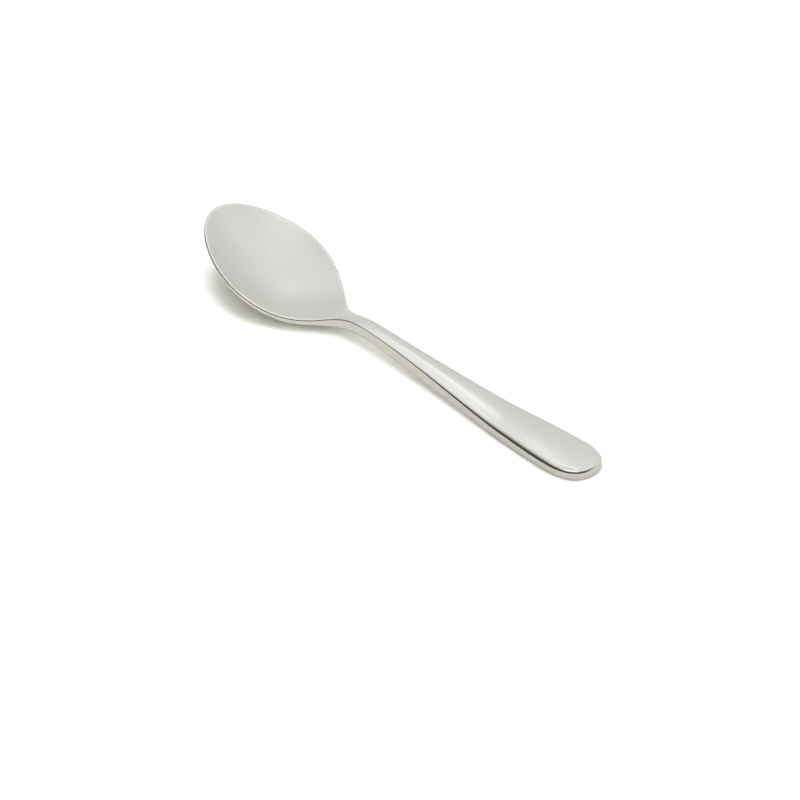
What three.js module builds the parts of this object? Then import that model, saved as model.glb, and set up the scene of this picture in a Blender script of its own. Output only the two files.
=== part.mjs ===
// Demitasse spoon: bowl, neck and handle forged from one blank of stainless steel.
// Millimetres, +Z up. +X runs from the handle's end to the bowl's tip, and the spoon is symmetric about Y = 0.
// It lies on the plane Z = 0, on the flat under the handle and on the belly of the bowl.
// A station is a distance along the spoon, from 0 at the handle's end to the overall length at the bowl's tip.
import * as THREE from "three";
import { mergeVertices } from "three/addons/utils/BufferGeometryUtils.js";

// Plan view: lengths and widths
const OVERALL_LENGTH = 112;
const BOWL_LENGTH = 43.1; // from the narrowest point of the neck to the tip
const BOWL_WIDTH = 25.5;
const BOWL_WIDEST_FROM_TIP = 18.3;
const NECK_WIDTH = 3.5;
const SHOULDER_RADIUS = 11; // hollow fillet between the neck and the bowl's flank
const SHOULDER_TURN = THREE.MathUtils.degToRad(28.5);
const HANDLE_WIDTH = 11.5;
const HANDLE_WIDEST_FROM_END = 7.9;

// Side view: heights of the upper edge above the table, where the faces would meet without rounding
const REST_LENGTH = 22.7; // flat under the handle, from its end
const CREST_HEIGHT = 5.4;
const CREST_BEFORE_NECK = 3.9;
const HEEL_HEIGHT = 3.1; // lowest point of the bowl's rim
const HEEL_AFTER_NECK = 10.2;
const TIP_HEIGHT = 14.1;
const TIP_RIM_SLOPE = 0.28; // rise of the rim per millimetre at the tip
const BELLY_FROM_TIP = 24; // where the belly of the bowl touches the table
const TIP_FLOOR_SLOPE = 0.95; // rise of the bowl's floor per millimetre where it meets the tip

// Thicknesses
const HANDLE_THICKNESS = 2.5; // at the edges of the handle
const NECK_THICKNESS = 2.7;
const LIP_THICKNESS = 1.4; // upright thickness of the bowl's rim
const BOWL_WALL = 1.3; // at the lowest point of the bowl's floor

// Doming of the handle's top between its edges
const HANDLE_CROWN = 0.55;
const CREST_CROWN = 0.25;
const CROWN_FULL_AT = 22; // the end is flatter up to this station
const CROWN_FADES_FROM = 40;

// Rounding of the edges
const END_EDGE_RADIUS = 1.2;
const END_EDGE_LENGTH = 12; // over which the end's radius grows to the handle's
const HANDLE_EDGE_RADIUS = 1.7; // at full width, and smaller as the handle tapers
const NECK_EDGE_RADIUS = 0.5;
const LIP_EDGE_RADIUS = 0.42;
const UNDER_EDGE_RADIUS = 0.3;
const LIP_UNDER_RADIUS = 0.7;

// How far each curve keeps the direction of its ends, as shares of the length it spans
const END_FLOW = { out: 0.64, in: 0.67 };
const TAPER_FLOW = { out: 0.22, in: 0.41 };
const FLANK_FLOW = { out: 0.22, in: 0.42 };
const NOSE_FLOW = { out: 0.43, in: 0.55 };
const RISE_FLOW = { out: 0.25, in: 0.2 };
const FALL_FLOW = { out: 0.42, in: 0.35 };
const LIFT_FLOW = { out: 0.19, in: 0.67 };
const DESCENT_FLOW = { out: 0.36, in: 0.44 };
const FLOOR_FLOW = { out: 0.42, in: 0.3 };

// Fineness of the surface
const END_STEPS = 11;
const TAPER_STEPS = 22;
const SHOULDER_STEPS = 5;
const FLANK_STEPS = 14;
const NOSE_STEPS = 16;
const FACE_STEPS = 8;
const EDGE_STEPS = 5;

// Derived stations
const neckAt = OVERALL_LENGTH - BOWL_LENGTH;
const bowlWidestAt = OVERALL_LENGTH - BOWL_WIDEST_FROM_TIP;
const crestAt = neckAt - CREST_BEFORE_NECK;
const heelAt = neckAt + HEEL_AFTER_NECK;
const bellyAt = OVERALL_LENGTH - BELLY_FROM_TIP;

// A point and the unit direction in which a curve passes through it.
const knot = (x, y, dx = 1, dy = 0) => ({ x, y, direction: new THREE.Vector2(dx, dy).normalize() });

// A cubic that leaves one knot and reaches the next along their directions.
function flow(path, from, to, outReach, inReach) {
  path.bezierCurveTo(
    from.x + from.direction.x * outReach,
    from.y + from.direction.y * outReach,
    to.x - to.direction.x * inReach,
    to.y - to.direction.y * inReach,
    to.x,
    to.y,
  );
}

// A cubic between two knots whose reaches are measured along the stations.
function sideFlow(path, from, to, share) {
  const span = to.x - from.x;
  flow(path, from, to, (share.out * span) / from.direction.x, (share.in * span) / to.direction.x);
}

// Plan view of one half: station against half width.
function halfOutline() {
  const end = knot(0, 0, 0, 1);
  const broad = knot(HANDLE_WIDEST_FROM_END, HANDLE_WIDTH / 2);
  const neck = knot(neckAt, NECK_WIDTH / 2);
  const shoulder = knot(
    neckAt + SHOULDER_RADIUS * Math.sin(SHOULDER_TURN),
    NECK_WIDTH / 2 + SHOULDER_RADIUS * (1 - Math.cos(SHOULDER_TURN)),
    Math.cos(SHOULDER_TURN),
    Math.sin(SHOULDER_TURN),
  );
  const widest = knot(bowlWidestAt, BOWL_WIDTH / 2);
  const tip = knot(OVERALL_LENGTH, 0, 0, -1);
  const flank = Math.hypot(widest.x - shoulder.x, widest.y - shoulder.y);

  const path = new THREE.Path();
  path.moveTo(end.x, end.y);
  flow(path, end, broad, END_FLOW.out * broad.y, END_FLOW.in * broad.x);
  sideFlow(path, broad, neck, TAPER_FLOW);
  path.add(
    new THREE.EllipseCurve(
      neck.x,
      neck.y + SHOULDER_RADIUS,
      SHOULDER_RADIUS,
      SHOULDER_RADIUS,
      -Math.PI / 2,
      SHOULDER_TURN - Math.PI / 2,
    ),
  );
  path.moveTo(shoulder.x, shoulder.y);
  flow(path, shoulder, widest, FLANK_FLOW.out * flank, FLANK_FLOW.in * flank);
  flow(path, widest, tip, NOSE_FLOW.out * (tip.x - widest.x), NOSE_FLOW.in * widest.y);
  return path;
}

// Side view of the upper edge, along the handle's sides and the bowl's rim.
function edgeLine() {
  const lift = knot(REST_LENGTH, HANDLE_THICKNESS);
  const crest = knot(crestAt, CREST_HEIGHT);
  const heel = knot(heelAt, HEEL_HEIGHT);
  const tip = knot(OVERALL_LENGTH, TIP_HEIGHT, 1, TIP_RIM_SLOPE);

  const path = new THREE.Path();
  path.moveTo(0, lift.y);
  path.lineTo(lift.x, lift.y);
  sideFlow(path, lift, crest, RISE_FLOW);
  sideFlow(path, crest, heel, FALL_FLOW);
  sideFlow(path, heel, tip, LIFT_FLOW);
  return path;
}

// Side view of the middle of the upper face, from the handle's crest along the bowl's floor to the tip.
function floorLine() {
  const crest = knot(crestAt, CREST_HEIGHT + CREST_CROWN);
  const belly = knot(bellyAt, BOWL_WALL);
  const tip = knot(OVERALL_LENGTH, TIP_HEIGHT, 1, TIP_FLOOR_SLOPE);

  const path = new THREE.Path();
  path.moveTo(crest.x, crest.y);
  sideFlow(path, crest, belly, DESCENT_FLOW);
  sideFlow(path, belly, tip, FLOOR_FLOW);
  return path;
}

// Height of a curve over a station, for curves whose stations only grow.
function heightAt(path, station) {
  const curve = path.curves.find((c) => station <= c.getPoint(1).x) ?? path.curves.at(-1);
  let low = 0;
  let high = 1;
  while (high - low > 1e-9) {
    const middle = (low + high) / 2;
    if (curve.getPoint(middle).x < station) low = middle;
    else high = middle;
  }
  return curve.getPoint(high).y;
}

const outline = halfOutline();
const edge = edgeLine();
const floor = floorLine();
const ease = THREE.MathUtils.smoothstep;
const mix = THREE.MathUtils.lerp;
const share = THREE.MathUtils.inverseLerp;

// Doming of the top: it grows from the handle's end, and eases lower towards the crest.
function crownAt(station) {
  const inset = 1 - Math.min(station / CROWN_FULL_AT, 1);
  const handle = HANDLE_CROWN * (1 - inset * inset);
  return handle + (CREST_CROWN - HANDLE_CROWN) * ease(station, CROWN_FADES_FROM, crestAt);
}

function edgeThicknessAt(station) {
  const stem = mix(HANDLE_THICKNESS, NECK_THICKNESS, ease(station, REST_LENGTH, crestAt));
  return mix(stem, LIP_THICKNESS, ease(station, crestAt, heelAt));
}

function middleThicknessAt(station) {
  const stem = mix(HANDLE_THICKNESS, NECK_THICKNESS, ease(station, REST_LENGTH, crestAt)) + crownAt(station);
  const bowl = mix(BOWL_WALL, LIP_THICKNESS, ease(station, bellyAt, OVERALL_LENGTH));
  return mix(stem, bowl, ease(station, crestAt, bellyAt));
}

// Radius of the upper edge, which follows the width of the handle down to the neck and then thins to the lip.
function topRadiusAt(station, halfWidth) {
  const broad = mix(END_EDGE_RADIUS, HANDLE_EDGE_RADIUS, ease(station, 0, END_EDGE_LENGTH));
  let fullness = share(NECK_WIDTH / 2, HANDLE_WIDTH / 2, halfWidth);
  if (station < HANDLE_WIDEST_FROM_END) fullness = 1;
  if (station > neckAt) fullness = 0;
  return mix(mix(NECK_EDGE_RADIUS, broad, fullness), LIP_EDGE_RADIUS, ease(station, crestAt, heelAt));
}

function underRadiusAt(station) {
  return mix(UNDER_EDGE_RADIUS, LIP_UNDER_RADIUS, ease(station, crestAt, heelAt));
}

// Heights of the upper face and the underside: both are parabolas across each station, from edge to edge.
function faceHeights(station, offset) {
  const spread = 1 - (offset / heightAt(outline, station)) ** 2;
  const edgeTop = heightAt(edge, station);
  const middleTop = station < crestAt ? edgeTop + crownAt(station) : heightAt(floor, station);
  const edgeUnder = edgeTop - edgeThicknessAt(station);
  const middleUnder = middleTop - middleThicknessAt(station);
  return { top: mix(edgeTop, middleTop, spread), under: mix(edgeUnder, middleUnder, spread) };
}

// One rib runs from the middle of the upper face out over the edge and back along the underside.
function ribAt(point, inward) {
  const inset = (depth) => point.clone().addScaledVector(inward, depth);
  const height = (depth, face) => {
    const p = inset(depth);
    return faceHeights(p.x, p.y)[face];
  };
  const foot = new THREE.Vector2(
    THREE.MathUtils.clamp(point.x, HANDLE_WIDEST_FROM_END, OVERALL_LENGTH - BOWL_WIDEST_FROM_TIP / 2),
    0,
  );

  // Rounded edge of one face, from the upright side to the face, then the face itself from the edge inwards.
  const half = (face, up, radius) => {
    const slope = (up * (height(radius, face) - height(2 * radius, face))) / radius;
    const turn = Math.PI / 2 + Math.atan(slope);
    const depth = radius * (1 - Math.cos(turn));
    const centre = height(depth, face) - up * radius * Math.sin(turn);
    const points = [];
    for (let i = 0; i <= EDGE_STEPS; i++) {
      const angle = (turn * i) / EDGE_STEPS;
      const p = inset(radius * (1 - Math.cos(angle)));
      points.push(new THREE.Vector3(p.x, p.y, centre + up * radius * Math.sin(angle)));
    }
    const start = inset(depth);
    for (let i = 1; i <= FACE_STEPS; i++) {
      const p = start.clone().lerp(foot, i / FACE_STEPS);
      points.push(new THREE.Vector3(p.x, p.y, faceHeights(p.x, p.y)[face]));
    }
    return points;
  };
  const top = half("top", 1, topRadiusAt(point.x, point.y));
  const under = half("under", -1, underRadiusAt(point.x));
  return [...top.reverse(), ...under];
}

// Points of the half outline with the direction that leads into the spoon.
function outlinePoints() {
  const steps = [END_STEPS, TAPER_STEPS, SHOULDER_STEPS, FLANK_STEPS, NOSE_STEPS];
  const points = [];
  outline.curves.forEach((curve, c) => {
    for (let i = c === 0 ? 0 : 1; i <= steps[c]; i++) {
      const along = curve.getTangent(i / steps[c]);
      points.push({ point: curve.getPoint(i / steps[c]), inward: new THREE.Vector2(along.y, -along.x) });
    }
  });
  points.at(0).inward.set(1, 0);
  points.at(-1).inward.set(-1, 0);
  return points;
}

// Skin over the ribs of one half and its mirror image, which meet along the middle, the end and the tip.
function spoonGeometry() {
  const ribs = outlinePoints().map(({ point, inward }) => ribAt(point, inward));
  const triangles = [];
  ribs.slice(0, -1).forEach((rib, r) => {
    const next = ribs[r + 1];
    for (let i = 0; i + 1 < rib.length; i++) {
      triangles.push([rib[i], next[i], next[i + 1]], [rib[i], next[i + 1], rib[i + 1]]);
    }
  });
  const half = triangles.filter(([a, b, c]) => new THREE.Triangle(a, b, c).getArea() > 1e-6);
  const mirror = (p) => new THREE.Vector3(p.x, -p.y, p.z);
  const whole = half.flatMap(([a, b, c]) => [a, b, c, mirror(a), mirror(c), mirror(b)]);
  const geometry = mergeVertices(new THREE.BufferGeometry().setFromPoints(whole), 1e-4);
  geometry.computeVertexNormals();
  return geometry;
}

const polishedSteel = new THREE.MeshStandardMaterial({ color: 0xcfcdc6, roughness: 0.2, metalness: 1 });
const spoon = new THREE.Mesh(spoonGeometry(), polishedSteel);
spoon.name = "spoon";
spoon.position.x = -OVERALL_LENGTH / 2;

const part = new THREE.Group();
part.name = "demitasse_spoon";
part.add(spoon);
export default part;
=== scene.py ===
"""Looks of a small polished steel coffee spoon that lies on a white table.

The spoon is one lofted surface. A station is a distance along it in millimetres, from 0 at the handle's end
to the overall length at the bowl's tip. An offset is a distance from its middle plane. Ribs run from the
middle of the upper face over the rounded edge to the middle of the underside, and one half is mirrored to
make the other.
"""

from __future__ import annotations

import logging
import math
from dataclasses import dataclass, field
from enum import Enum
from typing import ClassVar

import bpy
import numpy as np
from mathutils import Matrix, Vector


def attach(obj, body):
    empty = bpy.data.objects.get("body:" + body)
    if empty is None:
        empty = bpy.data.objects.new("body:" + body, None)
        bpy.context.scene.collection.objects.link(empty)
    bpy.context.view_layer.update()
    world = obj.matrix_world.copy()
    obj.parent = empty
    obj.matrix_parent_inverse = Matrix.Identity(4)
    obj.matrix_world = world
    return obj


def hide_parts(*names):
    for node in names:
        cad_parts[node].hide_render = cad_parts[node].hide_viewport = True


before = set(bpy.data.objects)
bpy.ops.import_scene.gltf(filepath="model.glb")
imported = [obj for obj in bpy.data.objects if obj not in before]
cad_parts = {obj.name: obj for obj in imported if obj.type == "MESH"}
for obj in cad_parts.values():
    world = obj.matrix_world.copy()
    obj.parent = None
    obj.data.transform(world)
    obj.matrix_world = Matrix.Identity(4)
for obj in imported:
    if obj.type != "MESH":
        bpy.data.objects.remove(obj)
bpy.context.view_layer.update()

LOG = logging.getLogger("demitasse_spoon")
MM = 0.001
TINY = 1e-9
WHITE = (1.0, 1.0, 1.0, 1.0)

# Numbers of the sockets that a Mix node uses for colours
COLOUR_A = 6
COLOUR_B = 7
COLOUR_RESULT = 2

Values = np.ndarray | float
Point = tuple[float, float] | np.ndarray
Colour = tuple[float, float, float, float]
Stops = tuple[tuple[float, float], ...]


class Face(Enum):
    """The two broad faces of the spoon, with the way that each one looks along Z."""

    TOP = 1.0
    UNDER = -1.0


@dataclass(frozen=True)
class Flow:
    """How far a curve keeps the direction of its two ends, as shares of the length that it spans."""

    out: float
    into: float


@dataclass(frozen=True)
class Line:
    """A curve of the side or plan view, kept as a fine table of stations and heights.

    Attributes:
        stations: Growing distances from the handle's end, in millimetres.
        heights: Height, or half width in the plan view, at each station.
    """

    stations: np.ndarray
    heights: np.ndarray

    @classmethod
    def through(cls, *pieces: np.ndarray) -> Line:
        """Joins curve pieces end to end.

        Args:
            pieces: Arrays of station and height, one row for each point.

        Returns:
            The line through all the pieces.
        """
        points = np.vstack(pieces)
        return cls(points[:, 0], points[:, 1])

    def at(self, station: np.ndarray) -> np.ndarray:
        """Height of the line at each station, between the points of its table."""
        return np.interp(station, self.stations, self.heights)


def smooth_step(value: np.ndarray, low: float, high: float) -> np.ndarray:
    """Eased share 3t^2 - 2t^3 of the way from low to high, held at 0 and 1 outside.

    Args:
        value: Values to place between the limits.
        low: Where the share is 0.
        high: Where the share is 1.

    Returns:
        The share for each value.
    """
    t = np.clip((value - low) / (high - low), 0.0, 1.0)
    return t * t * (3.0 - 2.0 * t)


def mix(first: Values, second: Values, share: Values) -> Values:
    """Straight blend from first to second."""
    return first + (second - first) * share


def cubic(start: Point, leave: Point, arrive: Point, stop: Point, count: int) -> np.ndarray:
    """Cubic Bezier curve (1-t)^3 A + 3t(1-t)^2 B + 3t^2(1-t) C + t^3 D at even steps of t.

    Args:
        start: First point A.
        leave: Control point B, which sets the direction at the start.
        arrive: Control point C, which sets the direction at the end.
        stop: Last point D.
        count: Number of steps.

    Returns:
        Array of count + 1 points.
    """
    t = np.linspace(0.0, 1.0, count + 1)[:, None]
    a, b, c, d = (np.asarray(p, float) for p in (start, leave, arrive, stop))
    return (1 - t) ** 3 * a + 3 * t * (1 - t) ** 2 * b + 3 * t**2 * (1 - t) * c + t**3 * d


def side_cubic(start: Point, stop: Point, flow: Flow, count: int, slope: float = 0.0) -> np.ndarray:
    """Cubic of the side view that leaves level and arrives with a given slope.

    Args:
        start: First point, as station and height.
        stop: Last point, as station and height.
        flow: How far both ends keep their direction.
        count: Number of steps.
        slope: Rise for each millimetre at the last point.

    Returns:
        Array of count + 1 points.
    """
    span = stop[0] - start[0]
    leave = (start[0] + flow.out * span, start[1])
    arrive = (stop[0] - flow.into * span, stop[1] - flow.into * span * slope)
    return cubic(start, leave, arrive, stop, count)


def grid_quads(index: np.ndarray) -> np.ndarray:
    """Quads between neighbouring rows and columns of a grid of vertex numbers.

    Args:
        index: Vertex numbers in rows and columns.

    Returns:
        Array of four vertex numbers for each quad.
    """
    around = (index[:-1, :-1], index[1:, :-1], index[1:, 1:], index[:-1, 1:])
    return np.stack(around, axis=2).reshape(-1, len(around))


def toward(azimuth: float, elevation: float) -> Vector:
    """Unit direction (sin a cos e, -cos a cos e, sin e) of a compass angle and an elevation.

    Args:
        azimuth: Compass angle a in degrees, 0 on the -Y side and 90 on the +X side.
        elevation: Angle e above the table in degrees.

    Returns:
        The direction.
    """
    side, up = math.radians(azimuth), math.radians(elevation)
    return Vector((math.sin(side) * math.cos(up), -math.cos(side) * math.cos(up), math.sin(up)))


def add_object(name: str, data: bpy.types.ID) -> bpy.types.Object:
    """Makes an object from a mesh, lamp or camera and links it to the scene.

    Args:
        name: Name of the object.
        data: What the object shows.

    Returns:
        The object.
    """
    made = bpy.data.objects.new(name, data)
    bpy.context.scene.collection.objects.link(made)
    return made


def face_spoon(made: bpy.types.Object, away: Vector) -> None:
    """Turns a camera or lamp that stands in a given direction from the spoon to look back at it."""
    made.rotation_mode = "QUATERNION"
    made.rotation_quaternion = (-away).to_track_quat("-Z", "Y")


def set_input(node: bpy.types.Node, **values: object) -> bpy.types.Node:
    """Sets sockets of a shader node by name, with _ for spaces.

    Args:
        node: The node.
        values: Socket names and what they are set to.

    Returns:
        The same node.
    """
    for name, value in values.items():
        node.inputs[name.replace("_", " ")].default_value = value
    return node


def colour_mix(tree: bpy.types.NodeTree, factor: bpy.types.NodeSocket) -> bpy.types.Node:
    """Mix node for colours, driven by a socket.

    Args:
        tree: Node tree to make it in.
        factor: Output that blends from colour A to colour B.

    Returns:
        The node.
    """
    node = tree.nodes.new("ShaderNodeMix")
    node.data_type = "RGBA"
    tree.links.new(factor, node.inputs["Factor"])
    return node


@dataclass(frozen=True)
class PolishedSteel:
    """Bright polished stainless steel with fine polishing lines along it, softer where it is satin.

    Attributes:
        tint: Colour of most of the steel.
        deep_tint: Colour that it wanders to over centimetres.
        tint_range: Noise values at which the deep tint and the tint are reached.
        cloud_scale: Scale of the noise that moves the tint.
        cloud_detail: Octaves of that noise.
        cloud_rough: How strongly its finer octaves count.
        polish: Least and greatest roughness of the polished steel.
        satin: Least and greatest roughness where it is wholly satin.
        satin_name: Attribute of the surface that says how satin it is.
        line_stretch: Width of a polishing line against its length.
        line_scale: Scale of the noise that makes the lines.
        line_detail: Octaves of that noise.
        line_rough: How strongly its finer octaves count.
        line_range: Noise values at which the least and the greatest roughness are reached.
        line_depth: Strength of the lines' relief.
        line_height: Height of the relief at full strength, in metres.
    """

    tint: Colour = (0.842, 0.850, 0.808, 1.0)
    deep_tint: Colour = (0.824, 0.830, 0.786, 1.0)
    tint_range: tuple[float, float] = (0.35, 0.62)
    cloud_scale: float = 42.0
    cloud_detail: float = 3.0
    cloud_rough: float = 0.5
    polish: tuple[float, float] = (0.14, 0.18)
    satin: tuple[float, float] = (0.37, 0.42)
    satin_name: str = "satin"
    line_stretch: float = 0.03
    line_scale: float = 5200.0
    line_detail: float = 2.0
    line_rough: float = 0.55
    line_range: tuple[float, float] = (0.3, 0.7)
    line_depth: float = 0.03
    line_height: float = 0.0001

    def material(self, name: str) -> bpy.types.Material:
        """Makes the steel: metal whose tint, roughness and relief come from noise on Object coordinates.

        Args:
            name: Name of the material.

        Returns:
            The material.
        """
        material = bpy.data.materials.new(name)
        material.use_nodes = True
        nodes, links = material.node_tree.nodes, material.node_tree.links
        shader = set_input(nodes["Principled BSDF"], Metallic=1.0)
        place = nodes.new("ShaderNodeTexCoord")

        cloud = nodes.new("ShaderNodeTexNoise")
        set_input(cloud, Scale=self.cloud_scale, Detail=self.cloud_detail, Roughness=self.cloud_rough)
        tint = nodes.new("ShaderNodeValToRGB")
        colours = (self.deep_tint, self.tint)
        for stop, position, colour in zip(tint.color_ramp.elements, self.tint_range, colours):
            stop.position = position
            stop.color = colour
        links.new(place.outputs["Object"], cloud.inputs["Vector"])
        links.new(cloud.outputs["Fac"], tint.inputs["Fac"])
        links.new(tint.outputs["Color"], shader.inputs["Base Color"])

        along = nodes.new("ShaderNodeMapping")
        along.inputs["Scale"].default_value = (self.line_stretch, 1.0, 1.0)
        grain = nodes.new("ShaderNodeTexNoise")
        set_input(grain, Scale=self.line_scale, Detail=self.line_detail, Roughness=self.line_rough)
        links.new(place.outputs["Object"], along.inputs["Vector"])
        links.new(along.outputs["Vector"], grain.inputs["Vector"])
        where = nodes.new("ShaderNodeAttribute")
        where.attribute_name = self.satin_name
        blend = nodes.new("ShaderNodeMix")
        links.new(where.outputs["Fac"], blend.inputs["Factor"])
        least, most = self.line_range
        for (low, high), end in ((self.polish, "A"), (self.satin, "B")):
            spread = nodes.new("ShaderNodeMapRange")
            set_input(spread, From_Min=least, From_Max=most, To_Min=low, To_Max=high)
            links.new(grain.outputs["Fac"], spread.inputs["Value"])
            links.new(spread.outputs["Result"], blend.inputs[end])
        links.new(blend.outputs["Result"], shader.inputs["Roughness"])

        relief = set_input(nodes.new("ShaderNodeBump"), Strength=self.line_depth, Distance=self.line_height)
        links.new(grain.outputs["Fac"], relief.inputs["Height"])
        links.new(relief.outputs["Normal"], shader.inputs["Normal"])
        return material


@dataclass(frozen=True)
class WhiteAcrylic:
    """Milky white sheet with a very faint mottle, in which light spreads sideways by some millimetres.

    The steel mirrors the sheet darker and warmer than it looks by itself, by the mirrored tint, because it
    stands in for a table that is lit well past white.

    Attributes:
        bright: Lighter colour of the mottle.
        dull: Darker colour of the mottle.
        mottle_scale: Scale of the noise that makes the mottle.
        mottle_detail: Octaves of that noise.
        mirrored_tint: What the steel mirrors of each colour.
        spread: How far light travels in the sheet, in metres.
        spread_shares: Shares of that distance for red, green and blue.
        roughness: Roughness of the surface.
    """

    bright: Colour = (0.75, 0.75, 0.725, 1.0)
    dull: Colour = (0.74, 0.74, 0.715, 1.0)
    mottle_scale: float = 9.0
    mottle_detail: float = 4.0
    mirrored_tint: Colour = (0.53, 0.522, 0.5, 1.0)
    spread: float = 0.012
    spread_shares: tuple[float, float, float] = (1.0, 1.0, 0.9)
    roughness: float = 0.7

    def material(self, name: str) -> bpy.types.Material:
        """Makes the sheet: soft noise between two near whites, with light scattered under the surface.

        Rays from the camera, and rays that were scattered on their way, see it without the mirrored tint.

        Args:
            name: Name of the material.

        Returns:
            The material.
        """
        material = bpy.data.materials.new(name)
        material.use_nodes = True
        tree = material.node_tree
        nodes, links = tree.nodes, tree.links
        shader = set_input(nodes["Principled BSDF"], Roughness=self.roughness, Subsurface_Weight=1.0)
        set_input(shader, Subsurface_Radius=self.spread_shares, Subsurface_Scale=self.spread)
        shader.subsurface_method = "BURLEY"

        place = nodes.new("ShaderNodeTexCoord")
        cloud = nodes.new("ShaderNodeTexNoise")
        set_input(cloud, Scale=self.mottle_scale, Detail=self.mottle_detail)
        mottle = nodes.new("ShaderNodeValToRGB")
        mottle.color_ramp.elements[0].color = self.dull
        mottle.color_ramp.elements[1].color = self.bright
        links.new(place.outputs["Object"], cloud.inputs["Vector"])
        links.new(cloud.outputs["Fac"], mottle.inputs["Fac"])

        path = nodes.new("ShaderNodeLightPath")
        unmirrored = nodes.new("ShaderNodeMath")
        unmirrored.use_clamp = True
        links.new(path.outputs["Is Camera Ray"], unmirrored.inputs[0])
        links.new(path.outputs["Diffuse Depth"], unmirrored.inputs[1])
        tint = colour_mix(tree, unmirrored.outputs["Value"])
        tint.inputs[COLOUR_A].default_value = self.mirrored_tint
        tint.inputs[COLOUR_B].default_value = WHITE
        white = nodes.new("ShaderNodeVectorMath")
        white.operation = "MULTIPLY"
        links.new(mottle.outputs["Color"], white.inputs[0])
        links.new(tint.outputs[COLOUR_RESULT], white.inputs[1])
        links.new(white.outputs["Vector"], shader.inputs["Base Color"])
        return material


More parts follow.
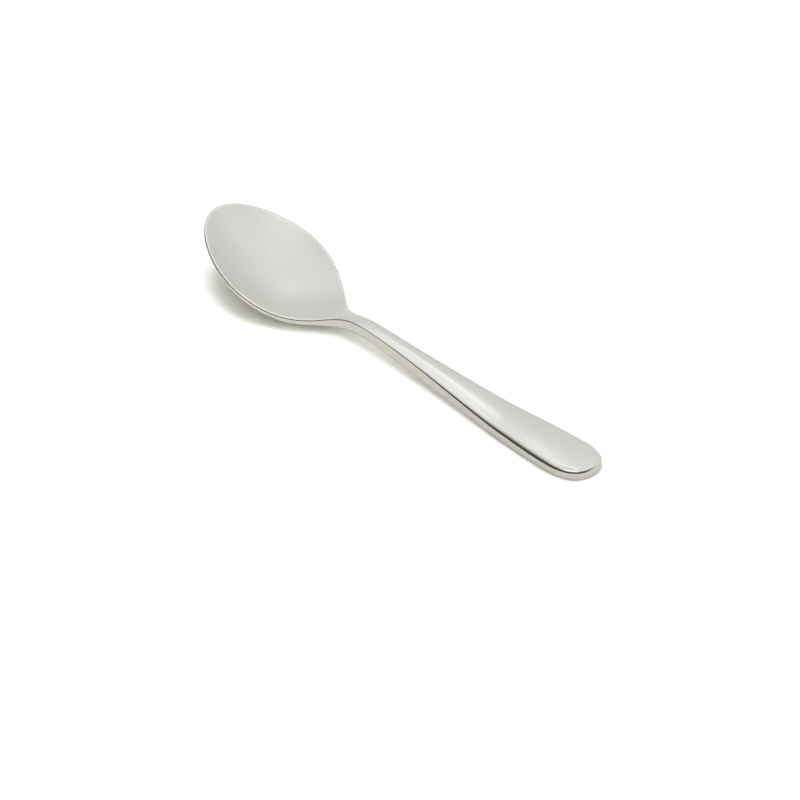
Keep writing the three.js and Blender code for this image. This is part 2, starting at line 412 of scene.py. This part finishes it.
@dataclass
class Spoon:
    """Bowl, neck and handle of the spoon as one surface. All sizes are in millimetres."""

    # Plan view
    overall_length: float = 112.0
    bowl_length: float = 43.1
    bowl_width: float = 25.5
    bowl_widest_from_tip: float = 18.3
    neck_width: float = 3.5
    shoulder_radius: float = 11.0
    shoulder_turn: float = math.radians(28.5)
    handle_width: float = 11.5
    handle_widest_from_end: float = 7.9

    # Side view
    rest_length: float = 22.7
    crest_height: float = 5.4
    crest_before_neck: float = 3.9
    heel_height: float = 3.1
    heel_after_neck: float = 10.2
    tip_height: float = 14.1
    tip_rim_slope: float = 0.28
    belly_from_tip: float = 24.0
    tip_floor_slope: float = 0.95

    # Sections
    handle_thickness: float = 2.5
    handle_crown: float = 0.55
    crest_crown: float = 0.25
    crown_full_from: float = 22.0
    crown_until: float = 40.0
    neck_thickness: float = 2.7
    lip_thickness: float = 1.4
    bowl_wall: float = 1.3
    end_edge_radius: float = 1.2
    end_edge_length: float = 12.0
    handle_edge_radius: float = 1.7
    neck_edge_radius: float = 0.3
    under_edge_radius: float = 0.3
    lip_edge_radius: float = 0.42
    lip_edge_stretch: float = 1.45
    lip_under_radius: float = 0.2

    # How the curves of both views bend
    end_flow: Flow = Flow(0.64, 0.67)
    taper_flow: Flow = Flow(0.22, 0.41)
    flank_flow: Flow = Flow(0.22, 0.42)
    nose_flow: Flow = Flow(0.43, 0.55)
    rise_flow: Flow = Flow(0.25, 0.2)
    fall_flow: Flow = Flow(0.42, 0.35)
    lift_flow: Flow = Flow(0.19, 0.67)
    descent_flow: Flow = Flow(0.36, 0.44)
    floor_flow: Flow = Flow(0.42, 0.30)

    # Fineness of the mesh
    end_steps: int = 84
    taper_steps: int = 150
    shoulder_steps: int = 36
    flank_steps: int = 96
    nose_steps: int = 110
    face_steps: int = 34
    edge_steps: int = 9
    edge_crowding: float = 1.15
    spine_from_end: float = 6.5
    spine_from_tip: float = 11.0

    # Finish, with the stations between which the satin comes and goes
    bowl_satin_run: tuple[float, float] = (67.0, 82.0)
    handle_satin: float = 0.2
    handle_satin_run: tuple[float, float] = (18.0, 34.0)
    handle_satin_end: tuple[float, float] = (52.0, 64.0)
    finish: PolishedSteel = field(default_factory=PolishedSteel)

    CURVE_STEPS: ClassVar[int] = 3000
    HEADING_STEPS: ClassVar[int] = 8

    def __post_init__(self) -> None:
        """Works out the stations that follow from the sizes, and the lines of both views."""
        self.neck_at = self.overall_length - self.bowl_length
        self.widest_at = self.overall_length - self.bowl_widest_from_tip
        self.crest_at = self.neck_at - self.crest_before_neck
        self.heel_at = self.neck_at + self.heel_after_neck
        self.belly_at = self.overall_length - self.belly_from_tip
        self.steps = (
            self.end_steps,
            self.taper_steps,
            self.shoulder_steps,
            self.flank_steps,
            self.nose_steps,
        )
        self.plan = Line.through(*self.outline_pieces((self.CURVE_STEPS,) * len(self.steps)))
        self.edge = self.edge_line()
        self.floor = self.floor_line()

    def outline_pieces(self, counts: tuple[int, ...]) -> list[np.ndarray]:
        """Plan view of one half: rounded end, taper, shoulder fillet, flank and nose of the bowl.

        The fillet is the arc (neck + R sin a, neck half width + R (1 - cos a)); the others are cubics that
        meet it and each other in line.

        Args:
            counts: Number of steps on each of the five pieces.

        Returns:
            The five pieces, as arrays of station and half width.
        """
        broad, neck, bowl = self.handle_width / 2, self.neck_width / 2, self.bowl_width / 2
        broad_at, taper = self.handle_widest_from_end, self.neck_at - self.handle_widest_from_end
        end = cubic(
            (0, 0),
            (0, self.end_flow.out * broad),
            (broad_at * (1 - self.end_flow.into), broad),
            (broad_at, broad),
            counts[0],
        )
        stem = cubic(
            (broad_at, broad),
            (broad_at + self.taper_flow.out * taper, broad),
            (self.neck_at - self.taper_flow.into * taper, neck),
            (self.neck_at, neck),
            counts[1],
        )
        turn = np.linspace(0.0, self.shoulder_turn, counts[2] + 1)
        along = self.neck_at + self.shoulder_radius * np.sin(turn)
        fillet = np.stack([along, neck + self.shoulder_radius * (1 - np.cos(turn))], axis=1)
        start, widest = fillet[-1], np.array([self.widest_at, bowl])
        reach = np.hypot(*(widest - start))
        aim = np.array([math.cos(self.shoulder_turn), math.sin(self.shoulder_turn)])
        flank = cubic(
            start,
            start + self.flank_flow.out * reach * aim,
            widest - (self.flank_flow.into * reach, 0),
            widest,
            counts[3],
        )
        nose = cubic(
            widest,
            widest + (self.nose_flow.out * self.bowl_widest_from_tip, 0),
            (self.overall_length, self.nose_flow.into * bowl),
            (self.overall_length, 0),
            counts[4],
        )
        return [end, stem, fillet, flank, nose]

    def edge_line(self) -> Line:
        """Side view of the upper edge: level over the resting flat, then the arch, the heel and the rim.

        Returns:
            The line from the handle's end to the bowl's tip.
        """
        level = self.handle_thickness
        crest = (self.crest_at, self.crest_height)
        heel = (self.heel_at, self.heel_height)
        tip = (self.overall_length, self.tip_height)
        return Line.through(
            np.array([[0.0, level]]),
            side_cubic((self.rest_length, level), crest, self.rise_flow, self.CURVE_STEPS),
            side_cubic(crest, heel, self.fall_flow, self.CURVE_STEPS),
            side_cubic(heel, tip, self.lift_flow, self.CURVE_STEPS, self.tip_rim_slope),
        )

    def floor_line(self) -> Line:
        """Side view of the middle of the upper face from the crest, down to the belly and up to the tip.

        Returns:
            The line from the crest to the bowl's tip.
        """
        crest = (self.crest_at, self.crest_height + self.crest_crown)
        belly = (self.belly_at, self.bowl_wall)
        tip = (self.overall_length, self.tip_height)
        return Line.through(
            side_cubic(crest, belly, self.descent_flow, self.CURVE_STEPS),
            side_cubic(belly, tip, self.floor_flow, self.CURVE_STEPS, self.tip_floor_slope),
        )

    def crown(self, station: np.ndarray) -> np.ndarray:
        """Doming of the top: a parabola from the end, full along the handle, eased lower to the crest.

        Args:
            station: Distances from the handle's end.

        Returns:
            How far the middle of the top stands above its edges.
        """
        inset = 1 - np.minimum(station / self.crown_full_from, 1.0)
        fade = smooth_step(station, self.crown_until, self.crest_at)
        return self.handle_crown * (1 - inset * inset) + (self.crest_crown - self.handle_crown) * fade

    def to_lip(self, station: np.ndarray) -> np.ndarray:
        """Eased share of the way from the handle's edge at the crest to the bowl's lip at the heel."""
        return smooth_step(station, self.crest_at, self.heel_at)

    def edge_radius(self, station: np.ndarray, half_width: np.ndarray, face: Face) -> np.ndarray:
        """Radius of the rounded edge, which follows the handle's width on the upper face.

        Args:
            station: Distances from the handle's end.
            half_width: Half width of the outline at each station.
            face: Which face.

        Returns:
            A radius for each station.
        """
        to_lip = self.to_lip(station)
        if face is Face.UNDER:
            return mix(self.under_edge_radius, self.lip_under_radius, to_lip)
        wide, thin = self.handle_width / 2, self.neck_width / 2
        share = np.clip((half_width - thin) / (wide - thin), 0.0, 1.0)
        share = np.where(station > self.neck_at, 0.0, share)
        share = np.where(station < self.handle_widest_from_end, 1.0, share)
        from_end = smooth_step(station, 0.0, self.end_edge_length)
        broad = mix(self.end_edge_radius, self.handle_edge_radius, from_end)
        return mix(mix(self.neck_edge_radius, broad, share), self.lip_edge_radius, to_lip)

    def stem_thickness(self, station: np.ndarray) -> np.ndarray:
        """Thickness of the handle's edges, eased from the resting flat to the crest."""
        share = smooth_step(station, self.rest_length, self.crest_at)
        return mix(self.handle_thickness, self.neck_thickness, share)

    def face_height(self, station: np.ndarray, offset: np.ndarray, face: Face) -> np.ndarray:
        """Height of a face, a parabola across each station.

        It is edge + (middle - edge)(1 - (offset / half width)^2). The underside lies below the upper face
        by the thickness of the edge and of the middle.

        Args:
            station: Distances from the handle's end.
            offset: Distances from the middle plane.
            face: Which face.

        Returns:
            Heights above the table.
        """
        spread = 1 - (offset / np.maximum(self.plan.at(station), TINY)) ** 2
        edge = self.edge.at(station)
        crown = self.crown(station)
        middle = np.where(station < self.crest_at, edge + crown, self.floor.at(station))
        if face is Face.TOP:
            return mix(edge, middle, spread)
        stem = self.stem_thickness(station)
        rim = mix(stem, self.lip_thickness, self.to_lip(station))
        to_tip = smooth_step(station, self.belly_at, self.overall_length)
        bowl = mix(self.bowl_wall, self.lip_thickness, to_tip)
        core = mix(stem + crown, bowl, smooth_step(station, self.crest_at, self.belly_at))
        return mix(edge - rim, middle - core, spread)

    def ribs(self) -> tuple[np.ndarray, np.ndarray]:
        """Points of the half outline and, for each, the unit direction that leads into the spoon.

        The direction is square to the heading of a finer outline at the same share of its length.

        Returns:
            Arrays of points and of directions, each with a row for every rib.
        """
        pieces = self.outline_pieces(self.steps)
        points = np.vstack([pieces[0], *(p[1:] for p in pieces[1:])])
        fine = np.vstack(self.outline_pieces(tuple(self.HEADING_STEPS * count for count in self.steps)))
        step = np.diff(fine, axis=0)
        step = step[np.hypot(*step.T) > TINY]
        angle = np.unwrap(np.arctan2(step[:, 1], step[:, 0]))
        run = np.concatenate([[0.0], np.cumsum(np.hypot(*step.T))])
        places = np.concatenate([[0.0], np.cumsum(np.hypot(*np.diff(points, axis=0).T))])
        places = places * run[-1] / places[-1]
        heading = np.interp(places, (run[1:] + run[:-1]) / 2, angle)
        inward = np.stack([np.sin(heading), -np.cos(heading)], axis=1)
        inward[0], inward[-1] = (1.0, 0.0), (-1.0, 0.0)
        return points, inward

    def half_section(self, face: Face) -> np.ndarray:
        """Grid of one face's half: the rounded edge from the upright side inwards, then the face.

        The edge is an arc of radius R, point (R (1 - cos a), centre + R sin a) at angle a, that ends where
        it touches the face's slope. On the bowl's lip the outer quarter of the arc is stretched downwards.
        The face is carried straight in plan from the arc's end to a point on the middle line.

        Args:
            face: Which face.

        Returns:
            Array of ribs, points on each rib and coordinates.
        """
        points, inward = self.ribs()
        sign = face.value
        radius = self.edge_radius(points[:, 0], points[:, 1], face)

        def height(depth: np.ndarray) -> np.ndarray:
            """Height of the face at a depth in from the outline."""
            place = points + inward * depth[:, None]
            return self.face_height(place[:, 0], place[:, 1], face)

        slope = sign * (height(radius) - height(2 * radius)) / radius
        turn = math.pi / 2 + np.arctan(slope)
        depth = radius * (1 - np.cos(turn))
        centre = height(depth) - sign * radius * np.sin(turn)
        angle = turn[:, None] * np.linspace(0.0, 1.0, self.edge_steps + 1)
        inset = radius[:, None] * (1 - np.cos(angle))
        plan = points[:, None, :] + inward[:, None, :] * inset[..., None]
        stretch = mix(1.0, self.lip_edge_stretch, self.to_lip(points[:, 0]))
        stretched = (angle < math.pi / 2) & (face is Face.TOP)
        drop = np.where(stretched, stretch[:, None], 1.0) * (1 - np.sin(angle))
        rise = centre[:, None] + sign * radius[:, None] * (1 - drop)
        edge = np.concatenate([plan, rise[..., None]], axis=2)

        start = points + inward * depth[:, None]
        room = self.overall_length - self.spine_from_end - self.spine_from_tip
        foot = self.spine_from_end + room * points[:, 0] / self.overall_length
        foot = np.stack([foot, np.zeros_like(foot)], axis=1)
        step = np.linspace(0.0, 1.0, self.face_steps + 1)[1:, None] ** self.edge_crowding
        plan = mix(start[:, None, :], foot[:, None, :], step)
        flat = self.face_height(plan[..., 0], plan[..., 1], face)
        return np.concatenate([edge, np.concatenate([plan, flat[..., None]], axis=2)], axis=1)

    def satin(self, points: np.ndarray) -> np.ndarray:
        """How satin the upper face is: wholly in the bowl, a little along the handle, and not between.

        Args:
            points: Grid of ribs, points on each rib and coordinates.

        Returns:
            A share for every point of the grid, which is 0 on the edges and the underside.
        """
        station = points[..., 0]
        handle = smooth_step(station, *self.handle_satin_run) - smooth_step(station, *self.handle_satin_end)
        share = self.handle_satin * handle + smooth_step(station, *self.bowl_satin_run)
        share[:, self.face_steps :] = 0.0
        return share

    def skin(self) -> tuple[np.ndarray, np.ndarray, np.ndarray]:
        """Vertices and quads of the whole spoon: the half grid and its mirror image.

        Both share the points on the outside of the grid, which lie on the middle plane.

        Returns:
            Vertices in metres in the part's frame, quads as vertex numbers, and how satin each vertex is.
        """
        top, under = self.half_section(Face.TOP), self.half_section(Face.UNDER)
        grid = np.concatenate([top[:, ::-1], under], axis=1)
        satin = self.satin(grid)
        rows, columns = grid.shape[:2]
        number = np.arange(rows * columns).reshape(rows, columns)
        shared = np.zeros((rows, columns), bool)
        shared[[0, -1]] = True
        shared[:, [0, -1]] = True
        twin = number.copy()
        twin[~shared] = rows * columns + np.arange(np.count_nonzero(~shared))
        half = np.where(shared[..., None], grid * (1, 0, 1), grid)
        points = np.vstack([half.reshape(-1, 3), (grid * (1, -1, 1))[~shared]])
        points[:, 0] -= self.overall_length / 2
        quads = np.vstack([grid_quads(number), grid_quads(twin)[:, ::-1]])
        return points * MM, quads, np.concatenate([satin.ravel(), satin[~shared]])

    def build(self) -> bpy.types.Object:
        """Makes the spoon, dresses it in polished steel and lets it stand for the solid.

        Returns:
            The spoon's object.
        """
        points, quads, satin = self.skin()
        mesh = bpy.data.meshes.new("spoon_skin")
        mesh.from_pydata(points, [], quads)
        mesh.attributes.new(self.finish.satin_name, "FLOAT", "POINT").data.foreach_set("value", satin)
        mesh.polygons.foreach_set("use_smooth", np.ones(len(mesh.polygons), bool))
        mesh.update()
        mesh.validate()
        spoon = add_object("polished_spoon", mesh)
        mesh.materials.append(self.finish.material("polished_steel"))
        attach(spoon, "root")
        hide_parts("spoon")
        return spoon


@dataclass(frozen=True)
class TableTop:
    """Wide white table that the spoon lies on.

    Attributes:
        reach: Distance from the middle to each side, in metres.
        lines: Number of grid lines each way.
        finish: The sheet that it is made of.
    """

    reach: float = 4.0
    lines: int = 3
    finish: WhiteAcrylic = field(default_factory=WhiteAcrylic)

    def build(self) -> bpy.types.Object:
        """Makes the table as a flat grid at height 0.

        Returns:
            The table's object.
        """
        side = np.linspace(-self.reach, self.reach, self.lines)
        x, y = np.meshgrid(side, side, indexing="ij")
        points = np.stack([x, y, np.zeros_like(x)], axis=2).reshape(-1, 3)
        mesh = bpy.data.meshes.new("table_top")
        mesh.from_pydata(points, [], grid_quads(np.arange(x.size).reshape(x.shape)))
        mesh.update()
        table = add_object("table_top", mesh)
        mesh.materials.append(self.finish.material("white_acrylic"))
        return table


@dataclass(frozen=True)
class PhotoCamera:
    """Long lens at the photograph's viewing angle.

    Attributes:
        azimuth: Compass angle in degrees, counted as for the other views.
        elevation: Angle above the table in degrees.
        distance: Distance from the aim in metres.
        aim: Point on the table at the middle of the picture.
        lens: Focal length in millimetres.
        sensor: Width of the sensor in millimetres.
        nearest: Distance in metres from which on things are shown.
    """

    azimuth: float = 226.381
    elevation: float = 34.02
    distance: float = 0.8
    aim: tuple[float, float, float] = (-0.009949, 0.009015, 0.0)
    lens: float = 176.846
    sensor: float = 36.0
    nearest: float = 0.01

    def build(self) -> bpy.types.Object:
        """Makes the camera and gives it to the scene.

        Returns:
            The camera's object.
        """
        data = bpy.data.cameras.new("photo_camera")
        data.sensor_width = self.sensor
        data.lens = self.lens
        data.clip_start = self.nearest
        camera = add_object("photo_camera", data)
        away = toward(self.azimuth, self.elevation)
        camera.location = Vector(self.aim) + away * self.distance
        face_spoon(camera, away)
        bpy.context.scene.camera = camera
        return camera


@dataclass(frozen=True)
class SoftBox:
    """Soft lamp that shines at the spoon.

    Attributes:
        name: Name of the lamp.
        azimuth: Compass angle in degrees, counted as for the camera.
        elevation: Angle above the table in degrees.
        across: Angle that its width spans, in degrees.
        upright: Angle that its height spans, in degrees.
        bright: Brightness against the white of the surround.
        in_metal: Whether the steel mirrors it.
        distance: Distance from the spoon in metres.
    """

    name: str
    azimuth: float
    elevation: float
    across: float
    upright: float
    bright: float
    in_metal: bool = True
    distance: float = 2.0

    def build(self) -> bpy.types.Object:
        """Makes the lamp as an elliptical area light that faces the spoon.

        Its power is its brightness times pi times its area, pi / 4 times width times height.

        Returns:
            The lamp's object.
        """
        data = bpy.data.lights.new(self.name, "AREA")
        data.shape = "ELLIPSE"
        data.size = 2 * self.distance * math.tan(math.radians(self.across) / 2)
        data.size_y = 2 * self.distance * math.tan(math.radians(self.upright) / 2)
        data.energy = self.bright * math.pi * math.pi / 4 * data.size * data.size_y
        lamp = add_object(self.name, data)
        away = toward(self.azimuth, self.elevation)
        lamp.location = away * self.distance
        face_spoon(lamp, away)
        lamp.visible_camera = False
        lamp.visible_glossy = self.in_metal
        return lamp


@dataclass(frozen=True)
class Studio:
    """White surround with soft lamps, dim low on the near side of the spoon.

    A ramp is a row of pairs of an elevation in degrees and a brightness.

    Attributes:
        strength: Brightness of the white that the camera sees, which the ramps' colours are shares of.
        open_ramp: Ramp of the open side.
        dim_ramp: Ramp of the dim side.
        dim_tint: Colour of the surround where it is darkest.
        tint_until: Brightness up to which it takes on some of that colour.
        dim_side: Compass angle of the dim side in degrees.
        dim_spread: Pairs of a turn from the dim side in degrees, growing with the compass angle, and of how
            far the dim ramp holds there.
        lamps: The soft lamps.
    """

    strength: float = 1.2
    open_ramp: Stops = (
        (0.0, 0.82),
        (6.0, 0.8),
        (14.0, 0.72),
        (20.0, 0.7),
        (30.0, 0.735),
        (38.0, 0.77),
        (46.0, 0.8),
        (55.0, 0.815),
        (90.0, 0.79),
    )
    dim_ramp: Stops = (
        (0.0, 0.06),
        (22.0, 0.06),
        (32.0, 0.28),
        (40.0, 0.56),
        (48.0, 0.76),
        (56.0, 0.88),
        (66.0, 0.82),
        (90.0, 0.79),
    )
    dim_tint: tuple[float, float, float] = (1.0, 0.82, 0.55)
    tint_until: float = 0.7
    dim_side: float = 190.4
    dim_spread: Stops = ((-99.0, 0.0), (-84.0, 1.0), (76.0, 1.0), (146.0, 0.0))
    lamps: tuple[SoftBox, ...] = (
        SoftBox("far_soft_box", 44.4, 47.8, 8.5, 7.5, 0.47),
        SoftBox("far_glow", 46.4, 49.0, 16.0, 14.0, 0.07),
        SoftBox("left_soft_box", 64.4, 56.0, 20.0, 12.0, 0.19),
        SoftBox("left_glow", 121.4, 62.0, 40.0, 14.0, 0.06),
        SoftBox("high_spot", 38.4, 61.0, 6.0, 4.5, 1.0),
        SoftBox("near_soft_box", 210.0, 46.0, 60.0, 13.0, 0.85),
        SoftBox("top_soft_box", 240.0, 80.0, 14.0, 12.0, 0.45),
        SoftBox("right_soft_box", 298.0, 49.0, 56.0, 14.0, 0.2),
        SoftBox("table_light", 226.4, 88.0, 30.0, 30.0, 19.0, in_metal=False),
    )

    @staticmethod
    def eased_ramp(tree: bpy.types.NodeTree, rows: list[tuple[float, tuple[float, ...]]]) -> bpy.types.Node:
        """Eased colour ramp through the given places.

        Args:
            tree: Node tree of the surround.
            rows: Pairs of a place from 0 to 1 and a colour of red, green and blue.

        Returns:
            The ramp's node.
        """
        node = tree.nodes.new("ShaderNodeValToRGB")
        node.color_ramp.interpolation = "EASE"
        elements = node.color_ramp.elements
        elements.remove(elements[1])
        for number, (place, colour) in enumerate(rows):
            stop = elements[0] if number == 0 else elements.new(place)
            stop.position = place
            stop.color = (*colour, 1.0)
        return node

    def height_ramp(self, tree: bpy.types.NodeTree, ramp: Stops) -> bpy.types.Node:
        """Colour ramp over the sine of the elevation, which takes on the dim tint where it is dark.

        Args:
            tree: Node tree of the surround.
            ramp: Pairs of elevation in degrees and brightness.

        Returns:
            The ramp's node.
        """
        rows = []
        for angle, bright in ramp:
            dark = 1 - min(bright / self.tint_until, 1.0)
            colour = tuple(bright / self.strength * (1 - dark * (1 - tint)) for tint in self.dim_tint)
            rows.append((math.sin(math.radians(angle)), colour))
        return self.eased_ramp(tree, rows)

    def dim_share(self, tree: bpy.types.NodeTree, place: bpy.types.NodeSocket) -> bpy.types.NodeSocket:
        """How dim a direction's compass angle is: an eased ramp over its turn from the dim side.

        The turn is the arc tangent of the parts of the direction across the dim side and along it.

        Args:
            tree: Node tree of the surround.
            place: Output that gives the direction.

        Returns:
            Output that gives the share.
        """
        nodes, links = tree.nodes, tree.links
        side = math.radians(self.dim_side)
        across = (math.cos(side), math.sin(side), 0.0)
        along = (math.sin(side), -math.cos(side), 0.0)
        compass = nodes.new("ShaderNodeMath")
        compass.operation = "ARCTAN2"
        for socket, axis in zip(compass.inputs, (across, along)):
            part = nodes.new("ShaderNodeVectorMath")
            part.operation = "DOT_PRODUCT"
            part.inputs[1].default_value = axis
            links.new(place, part.inputs[0])
            links.new(part.outputs["Value"], socket)
        turn = set_input(nodes.new("ShaderNodeMapRange"), From_Min=-math.pi, From_Max=math.pi)
        links.new(compass.outputs["Value"], turn.inputs["Value"])
        rows = [(0.5 + angle / 360, (share,) * 3) for angle, share in self.dim_spread]
        fade = self.eased_ramp(tree, rows)
        links.new(turn.outputs["Result"], fade.inputs["Fac"])
        return fade.outputs["Color"]

    def surround(self) -> bpy.types.World:
        """Makes the surround as a function of direction, which looks plain white to the camera.

        Returns:
            The world.
        """
        world = bpy.data.worlds.new("studio_surround")
        world.use_nodes = True
        tree = world.node_tree
        nodes, links = tree.nodes, tree.links
        place = nodes.new("ShaderNodeTexCoord").outputs["Generated"]
        split = nodes.new("ShaderNodeSeparateXYZ")
        links.new(place, split.inputs["Vector"])
        blend = colour_mix(tree, self.dim_share(tree, place))
        for ramp, end in ((self.open_ramp, COLOUR_A), (self.dim_ramp, COLOUR_B)):
            height = self.height_ramp(tree, ramp)
            links.new(split.outputs["Z"], height.inputs["Fac"])
            links.new(height.outputs["Color"], blend.inputs[end])
        backdrop = colour_mix(tree, nodes.new("ShaderNodeLightPath").outputs["Is Camera Ray"])
        backdrop.inputs[COLOUR_B].default_value = WHITE
        links.new(blend.outputs[COLOUR_RESULT], backdrop.inputs[COLOUR_A])
        background = set_input(nodes["Background"], Strength=self.strength)
        links.new(backdrop.outputs[COLOUR_RESULT], background.inputs["Color"])
        return world

    def build(self) -> None:
        """Gives the scene the surround, the lamps and plain display colours."""
        scene = bpy.context.scene
        scene.world = self.surround()
        for lamp in self.lamps:
            lamp.build()
        scene.view_settings.view_transform = "Standard"
        scene.view_settings.look = "None"


def main() -> None:
    """Builds the camera, the studio, the table and the spoon."""
    logging.basicConfig(level=logging.INFO, format="%(name)s: %(message)s")
    PhotoCamera().build()
    Studio().build()
    for piece in (TableTop().build(), Spoon().build()):
        mesh = piece.data
        LOG.info("%s: %d vertices, %d faces", piece.name, len(mesh.vertices), len(mesh.polygons))


if __name__ == "__main__":
    main()
